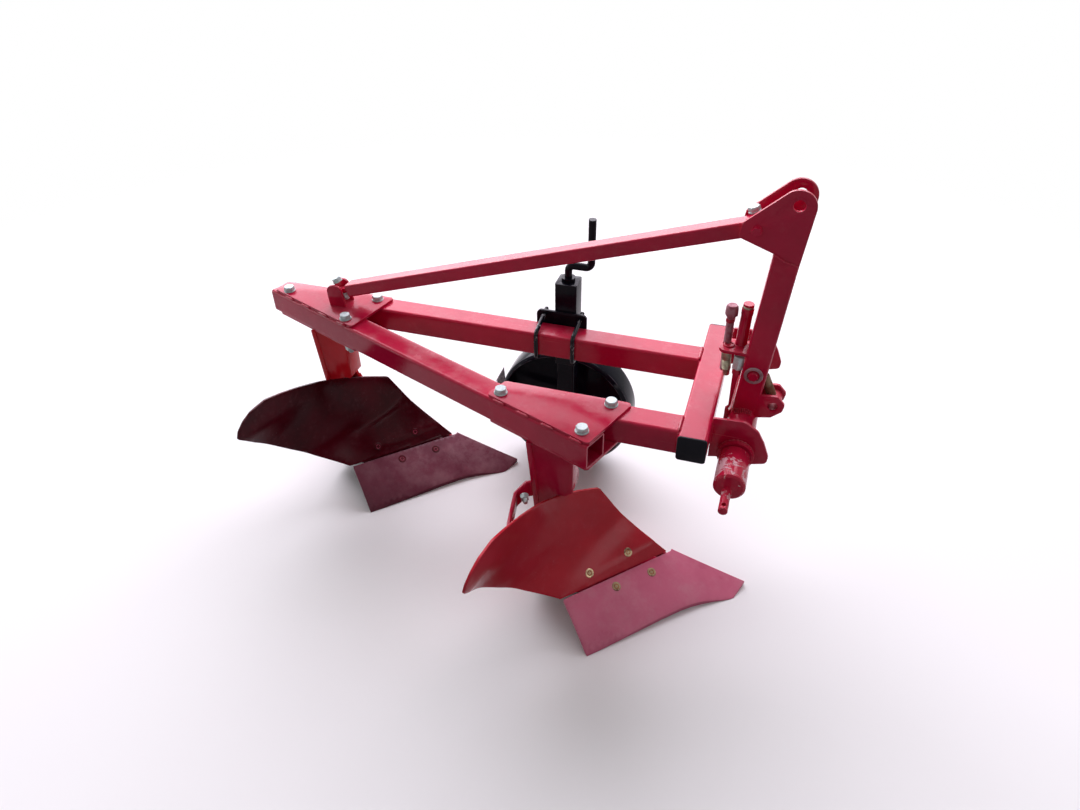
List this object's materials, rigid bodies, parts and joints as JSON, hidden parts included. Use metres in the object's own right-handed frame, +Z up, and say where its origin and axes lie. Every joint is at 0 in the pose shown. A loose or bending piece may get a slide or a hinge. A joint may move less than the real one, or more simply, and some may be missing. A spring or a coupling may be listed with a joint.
{
  "type": "mounted two-furrow moldboard plough",
  "caption": "Tractor-mounted right-hand moldboard plough: welded square-tube frame, curved mouldboards with shares and landsides, three-point head and gauge wheel.",
  "frame": {"origin": "bottom centre of the bounding box, on the ground that the shares and the gauge wheel stand on", "axes": "+X is the direction of travel, +Y the left or land side, +Z up"},
  "size_m": [1.5264, 1.0737, 1.1246],
  "materials": {
    "crimson_paint": "gloss, chipped at the weld beads",
    "rose_paint": "worn satin",
    "dark_crimson_paint": "satin, scuffed",
    "orange_red_paint": "gloss",
    "worn_paint": "worn through to bare steel at the ends",
    "black_paint": "gloss",
    "black_plastic": "matte"
  },
  "bodies": {
    "frame": {"adjusting_screw": "worn_paint", "bracket_boss": "crimson_paint", "crossbar": "crimson_paint", "crossbar_cap_left": "black_plastic", "crossbar_cap_right": "black_plastic", "diagonal_beam": "crimson_paint", "front_brace": "crimson_paint", "front_frog": "crimson_paint", "front_gusset_bottom": "crimson_paint", "front_gusset_top": "crimson_paint", "front_landside": "worn_paint", "front_leg": "crimson_paint", "front_mouldboard": "crimson_paint", "front_share": "rose_paint", "head_plate_left": "crimson_paint", "head_plate_right": "crimson_paint", "long_beam": "crimson_paint", "mast": "crimson_paint", "mast_lugs": "crimson_paint", "quadrant_plate_left": "crimson_paint", "quadrant_plate_right": "crimson_paint", "rear_brace": "crimson_paint", "rear_frog": "crimson_paint", "rear_gusset_bottom": "crimson_paint", "rear_gusset_top": "crimson_paint", "rear_landside": "worn_paint", "rear_leg": "orange_red_paint", "rear_mouldboard": "dark_crimson_paint", "rear_share": "dark_crimson_paint", "screw_bracket": "crimson_paint", "shaft_sleeve": "crimson_paint", "short_beam": "crimson_paint", "stay_bar": "crimson_paint", "stay_lug": "crimson_paint", "wheel_clamp_plate": "black_paint", "wheel_crank": "black_paint", "wheel_post": "black_paint", "wheel_u_bolts": "black_paint"},
    "cross_shaft": {"cross_shaft": "worn_paint", "shaft_arm": "crimson_paint"},
    "wheel_slide": {"wheel_slide": "black_paint", "wheel_axle": "black_paint", "wheel_scraper": "black_paint"},
    "gauge_wheel": {"gauge_wheel": "black_paint"}
  },
  "joints": [
    {"name": "gauge_wheel_spin", "type": "hinge", "parent": "wheel_slide", "child": "gauge_wheel", "pos_m": [0.12, 0.43486, 0.214], "axis": [0, 1, 0], "continuous": true},
    {"name": "gauge_wheel_height", "type": "slide", "parent": "frame", "child": "wheel_slide", "axis": [0, 0, 1], "range_m": [-0.06, 0.1]},
    {"name": "cross_shaft_turn", "type": "hinge", "parent": "frame", "child": "cross_shaft", "pos_m": [0.669, 0.15486, 0.508], "axis": [0, 1, 0], "range_deg": [-6, 0]}
  ]
}
